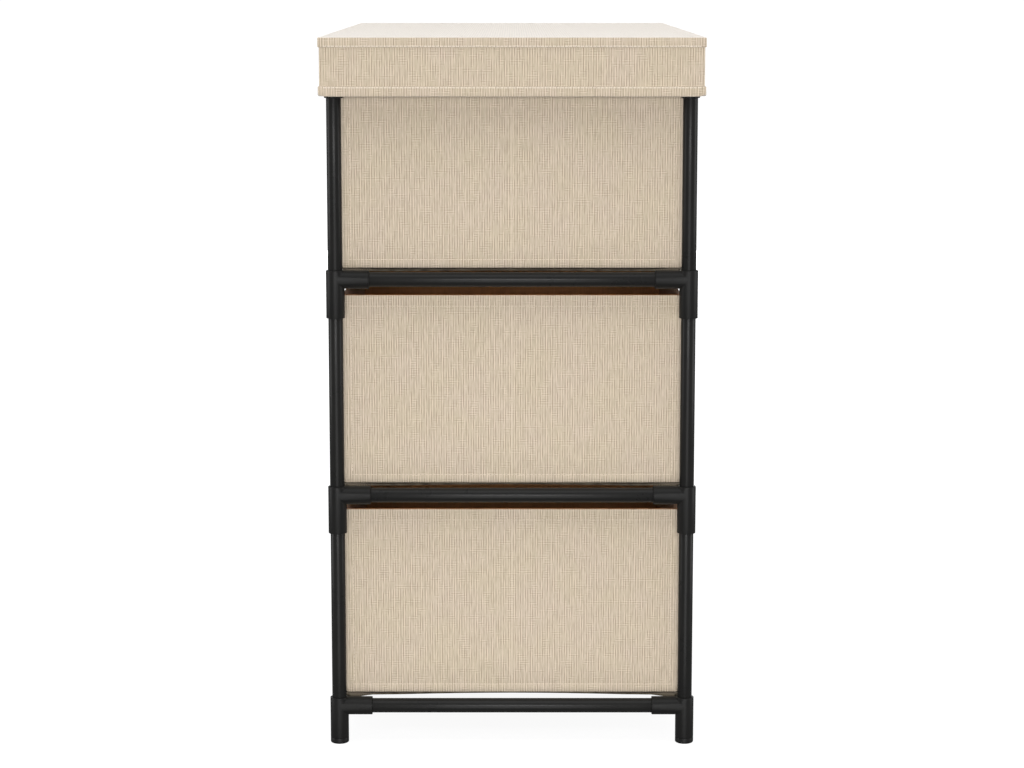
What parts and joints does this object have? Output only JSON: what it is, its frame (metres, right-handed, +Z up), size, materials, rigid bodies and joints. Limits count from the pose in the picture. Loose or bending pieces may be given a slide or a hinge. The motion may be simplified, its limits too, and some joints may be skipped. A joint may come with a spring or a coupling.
{
  "type": "drawer cabinet",
  "caption": "Low cabinet of cloth drawers on cloth shelf sheets, in a frame of thin tubes and moulded connectors, with a board on top under a skirted cloth cover.",
  "frame": {"origin": "on the floor under the middle of the cabinet", "axes": "+X along the long side to the right, -Y the way the drawers pull out, +Z up"},
  "size_m": [0.55, 0.29, 0.545],
  "materials": {
    "tube_steel": "gloss black paint",
    "connector_plastic": "moulded, half gloss",
    "sheet_cloth": "pressed cloth, matt",
    "drawer_cloth": "pressed cloth with fine upright ribs, matt",
    "drawer_lining": "smooth cloth, matt",
    "pull_cloth": "folded cloth, matt",
    "cover_cloth": "pressed cloth with fine ribs, matt",
    "cover_band": "folded cloth band, matt",
    "card": "plain",
    "cover_board": "pressed fibre board, plain"
  },
  "bodies": {
    "frame": {"corner_connectors_1": "connector_plastic", "middle_connectors_1": "connector_plastic", "long_rails_1": "tube_steel", "cross_rails_1": "tube_steel", "corner_connectors_2": "connector_plastic", "middle_connectors_2": "connector_plastic", "long_rails_2": "tube_steel", "cross_rails_2": "tube_steel", "corner_connectors_3": "connector_plastic", "middle_connectors_3": "connector_plastic", "long_rails_3": "tube_steel", "cross_rails_3": "tube_steel", "corner_connectors_4": "connector_plastic", "middle_connectors_4": "connector_plastic", "long_rails_4": "tube_steel", "cross_rails_4": "tube_steel", "posts_bottom_tier": "tube_steel", "posts_middle_tier": "tube_steel", "posts_top_tier": "tube_steel", "foot_plugs": "connector_plastic", "shelf_sheet_1": "sheet_cloth", "shelf_sheet_2": "sheet_cloth", "shelf_sheet_3": "sheet_cloth", "cover_board": "cover_board", "cover_cloth": "cover_cloth", "cover_top_band": "cover_band", "cover_skirt_hem": "cover_band"},
    "drawer_bottom_left": {"drawer_bottom_left_cloth": "drawer_cloth", "drawer_bottom_left_lining": "drawer_lining", "drawer_bottom_left_wall_boards": "card", "drawer_bottom_left_base_board": "card", "drawer_bottom_left_pull": "pull_cloth"},
    "drawer_bottom_right": {"drawer_bottom_right_cloth": "drawer_cloth", "drawer_bottom_right_lining": "drawer_lining", "drawer_bottom_right_wall_boards": "card", "drawer_bottom_right_base_board": "card", "drawer_bottom_right_pull": "pull_cloth"},
    "drawer_middle_left": {"drawer_middle_left_cloth": "drawer_cloth", "drawer_middle_left_lining": "drawer_lining", "drawer_middle_left_wall_boards": "card", "drawer_middle_left_base_board": "card", "drawer_middle_left_pull": "pull_cloth"},
    "drawer_middle_right": {"drawer_middle_right_cloth": "drawer_cloth", "drawer_middle_right_lining": "drawer_lining", "drawer_middle_right_wall_boards": "card", "drawer_middle_right_base_board": "card", "drawer_middle_right_pull": "pull_cloth"},
    "drawer_top_left": {"drawer_top_left_cloth": "drawer_cloth", "drawer_top_left_lining": "drawer_lining", "drawer_top_left_wall_boards": "card", "drawer_top_left_base_board": "card", "drawer_top_left_pull": "pull_cloth"},
    "drawer_top_right": {"drawer_top_right_cloth": "drawer_cloth", "drawer_top_right_lining": "drawer_lining", "drawer_top_right_wall_boards": "card", "drawer_top_right_base_board": "card", "drawer_top_right_pull": "pull_cloth"}
  },
  "joints": [
    {"name": "drawer_bottom_left_slide", "type": "slide", "parent": "frame", "child": "drawer_bottom_left", "axis": [0, -1, 0], "range_m": [0, 0.28]},
    {"name": "drawer_bottom_right_slide", "type": "slide", "parent": "frame", "child": "drawer_bottom_right", "axis": [0, -1, 0], "range_m": [0, 0.28]},
    {"name": "drawer_middle_left_slide", "type": "slide", "parent": "frame", "child": "drawer_middle_left", "axis": [0, -1, 0], "range_m": [0, 0.28]},
    {"name": "drawer_middle_right_slide", "type": "slide", "parent": "frame", "child": "drawer_middle_right", "axis": [0, -1, 0], "range_m": [0, 0.28]},
    {"name": "drawer_top_left_slide", "type": "slide", "parent": "frame", "child": "drawer_top_left", "axis": [0, -1, 0], "range_m": [0, 0.28]},
    {"name": "drawer_top_right_slide", "type": "slide", "parent": "frame", "child": "drawer_top_right", "axis": [0, -1, 0], "range_m": [0, 0.28]}
  ]
}
